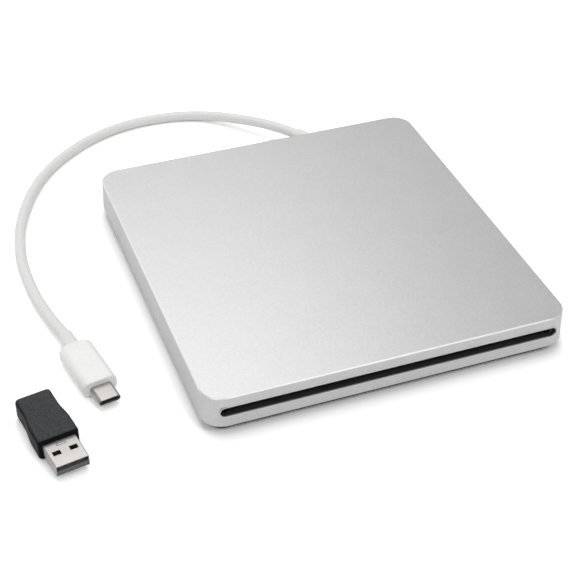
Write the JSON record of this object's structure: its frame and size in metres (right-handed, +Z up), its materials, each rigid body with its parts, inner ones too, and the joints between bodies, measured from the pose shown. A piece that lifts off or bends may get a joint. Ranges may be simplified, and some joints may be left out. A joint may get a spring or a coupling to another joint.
{
  "type": "external disc drive",
  "caption": "Flat silver slot-loading disc drive with rounded corners, a captive white lead ending in a flat plug, and a loose plug adapter; loading, tilting and reading mechanism inside.",
  "frame": {"origin": "on the resting plane, under the middle of the case", "axes": "+Z up out of the case's top; the disc slot faces -Y; the lead leaves the wall on +Y"},
  "size_m": [0.1999, 0.2114, 0.0166],
  "materials": {
    "silver_abs": "satin silver paint",
    "foot_rubber": "matte",
    "screw_steel": "plain",
    "slot_felt": "felt",
    "zinc_sheet": "zinc plated",
    "black_acetal": "moulded",
    "motor_can": "plated",
    "white_acetal": "moulded",
    "tan_acetal": "moulded",
    "polished_steel": "polished",
    "roller_rubber": "matte",
    "copper_winding": "enamelled",
    "pickup_casting": "die cast",
    "yoke_steel": "blackened",
    "lens_holder_polymer": "moulded",
    "lens_glass": "polished",
    "circuit_board": "solder mask",
    "black_moulding": "moulded",
    "grey_insert": "moulded",
    "ivory_nylon": "moulded",
    "white_tpe": "soft satin",
    "white_grip": "satin",
    "nickel_shell": "nickel plated",
    "black_abs": "fine grain"
  },
  "bodies": {
    "case": {"top_shell": "silver_abs", "bottom_cover": "black_abs", "rubber_feet": "foot_rubber", "case_screws": "screw_steel", "slot_felts": "slot_felt", "damper_pads": "foot_rubber", "module_tray": "zinc_sheet", "module_lid": "zinc_sheet", "module_screws": "screw_steel", "lid_screws": "screw_steel", "disc_guides": "black_acetal", "loading_motor": "motor_can", "side_studs": "screw_steel", "main_board": "circuit_board", "board_chips": "black_moulding", "bridge_board": "circuit_board", "bridge_chips": "black_moulding", "module_connector": "black_moulding", "lead_connector": "ivory_nylon", "inner_lead": "white_tpe", "strain_relief": "white_tpe", "usb_lead": "white_tpe", "plug_collar": "white_tpe", "plug_grip": "white_grip", "plug_shell": "nickel_shell", "plug_contacts": "black_moulding"},
    "cam_slider": {"cam_slider": "tan_acetal"},
    "cam_gear": {"cam_gear": "white_acetal"},
    "traverse": {"traverse_plate": "zinc_sheet", "spindle_motor": "copper_winding", "guide_rods": "polished_steel", "sled_motor": "motor_can"},
    "spindle": {"turntable": "motor_can", "turntable_pad": "roller_rubber", "hub_claws": "white_acetal"},
    "sled": {"pickup_sled": "pickup_casting", "actuator_yoke": "yoke_steel"},
    "lens": {"lens_holder": "lens_holder_polymer", "objective_lens": "lens_glass"},
    "lead_screw": {"lead_screw": "polished_steel"},
    "roller_bracket": {"roller_bracket": "black_acetal"},
    "roller": {"roller_shaft": "polished_steel", "loading_roller": "roller_rubber", "roller_gear": "white_acetal"},
    "idler": {"idler_gear": "white_acetal"},
    "reduction": {"reduction_gear": "white_acetal"},
    "motor_pinion": {"motor_pinion": "white_acetal"},
    "adapter": {"adapter_housing": "black_abs", "adapter_socket": "nickel_shell", "adapter_plug": "nickel_shell", "adapter_contacts": "grey_insert"}
  },
  "joints": [
    {"name": "loading_slide", "type": "slide", "parent": "case", "child": "cam_slider", "axis": [0, -1, 0], "range_m": [0, 0.005]},
    {"name": "traverse_lift", "type": "hinge", "parent": "case", "child": "traverse", "pos_m": [0, 0.057, 0.0062], "axis": [-1, 0, 0], "range_deg": [0, 2.4]},
    {"name": "roller_drop", "type": "hinge", "parent": "case", "child": "roller_bracket", "pos_m": [0, -0.053, 0.006], "axis": [1, 0, 0], "range_deg": [0, 7.2]},
    {"name": "cam_turn", "type": "hinge", "parent": "case", "child": "cam_gear", "pos_m": [0.065, -0.04098, 0.0075], "axis": [-1, 0, 0], "range_deg": [0, 89.6]},
    {"name": "roller_spin", "type": "hinge", "parent": "roller_bracket", "child": "roller", "pos_m": [0, -0.0665, 0.00745], "axis": [1, 0, 0], "continuous": true},
    {"name": "idler_spin", "type": "hinge", "parent": "case", "child": "idler", "pos_m": [0.065, -0.0592, 0.00822], "axis": [1, 0, 0], "continuous": true},
    {"name": "reduction_spin", "type": "hinge", "parent": "case", "child": "reduction", "pos_m": [0.065, -0.05326, 0.00905], "axis": [1, 0, 0], "continuous": true},
    {"name": "motor_spin", "type": "hinge", "parent": "case", "child": "motor_pinion", "pos_m": [0.065, -0.04743, 0.00555], "axis": [1, 0, 0], "continuous": true},
    {"name": "spindle_spin", "type": "hinge", "parent": "traverse", "child": "spindle", "pos_m": [0, -0.00911, 0.00733], "axis": [0, -0.0419, 0.9991], "continuous": true},
    {"name": "sled_travel", "type": "slide", "parent": "traverse", "child": "sled", "axis": [0, 0.9991, 0.0419], "range_m": [0, 0.0335]},
    {"name": "screw_turn", "type": "hinge", "parent": "traverse", "child": "lead_screw", "pos_m": [0.024, 0.02996, 0.00657], "axis": [0, 0.9991, 0.0419], "range_deg": [0, 4021]},
    {"name": "lens_focus", "type": "slide", "parent": "sled", "child": "lens", "axis": [0, -0.0419, 0.9991], "range_m": [-0.0003, 0.0003], "stiffness_N_per_m": 30},
    {"name": "adapter_lift", "type": "slide", "parent": "case", "child": "adapter", "axis": [0, 0, 1], "range_m": [0, 0.05]}
  ],
  "couplings": [
    {"joint": "traverse_lift", "follows": "loading_slide", "rad_per_m": 8.3775},
    {"joint": "roller_drop", "follows": "loading_slide", "rad_per_m": 25.133},
    {"joint": "cam_turn", "follows": "loading_slide", "rad_per_m": 312.5},
    {"joint": "idler_spin", "follows": "roller_spin", "ratio": -0.65},
    {"joint": "reduction_spin", "follows": "roller_spin", "ratio": 1.3},
    {"joint": "motor_spin", "follows": "roller_spin", "ratio": -4.225},
    {"joint": "screw_turn", "follows": "sled_travel", "rad_per_m": 2094.4}
  ]
}
